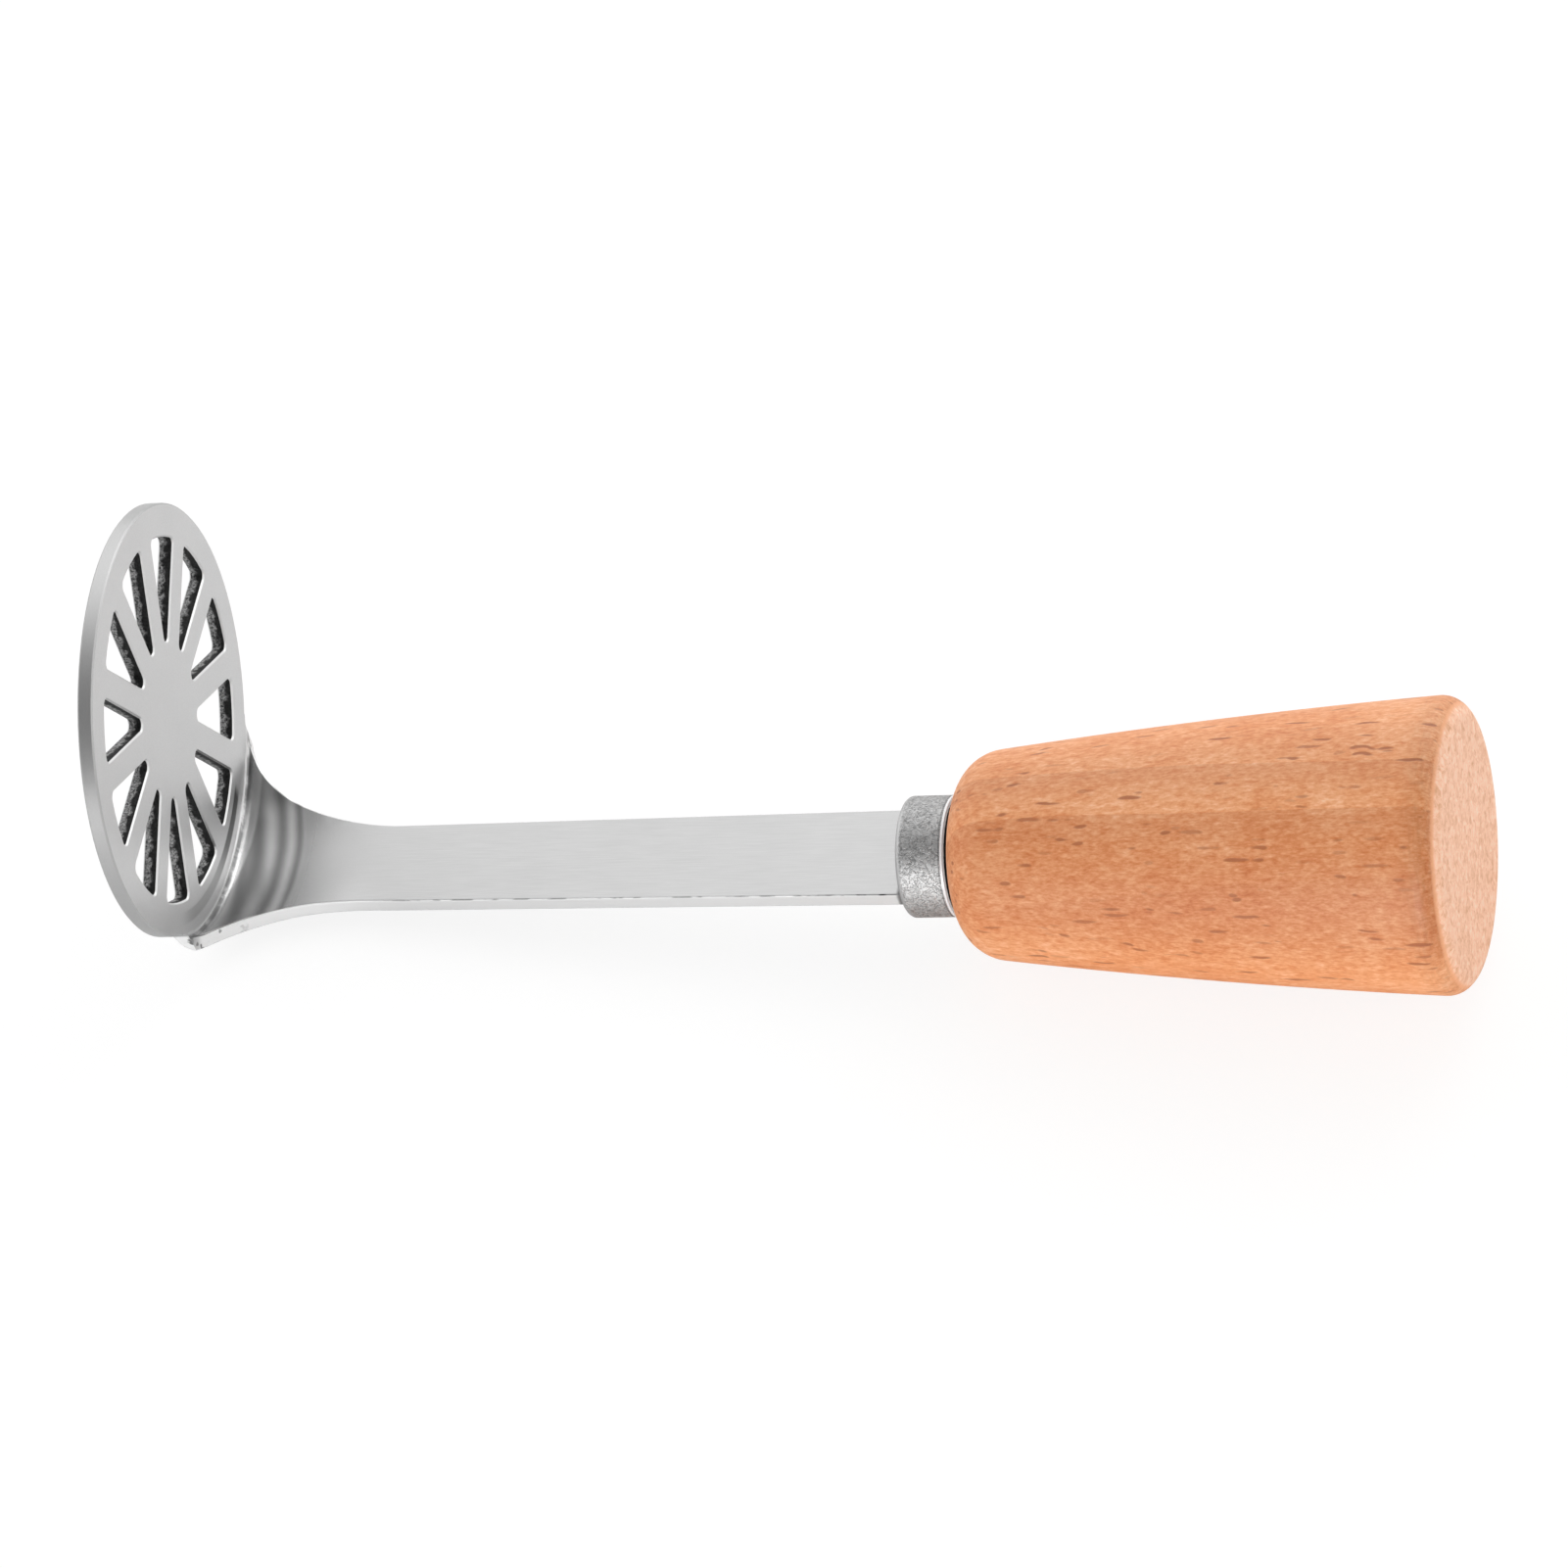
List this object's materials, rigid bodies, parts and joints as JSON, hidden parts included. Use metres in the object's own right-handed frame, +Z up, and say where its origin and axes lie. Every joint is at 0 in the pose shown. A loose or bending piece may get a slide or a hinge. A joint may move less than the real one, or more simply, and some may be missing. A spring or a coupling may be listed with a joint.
{
  "type": "potato masher",
  "caption": "Potato masher with a round slotted plate on an offset flat steel shank, a metal ferrule and a turned wooden handle.",
  "frame": {"origin": "centre of the footprint on the table that the masher lies on, at the table's height", "axes": "+X along the masher from the plate to the butt of the handle, +Z up from the shank to the plate's centre, +Y to the side; the handle's axis rises 6.9 degrees towards +X"},
  "size_m": [0.2038, 0.065, 0.068],
  "materials": {
    "blade_steel": "fine brushed faces, polished neck and dark rough slot walls",
    "ferrule_metal": "matte, tumbled",
    "beech": "sanded and lightly oiled",
    "epoxy": "cured adhesive"
  },
  "bodies": {
    "root": {"masher_blade": "blade_steel", "ferrule": "ferrule_metal", "handle": "beech", "tang_epoxy": "epoxy"}
  },
  "joints": []
}
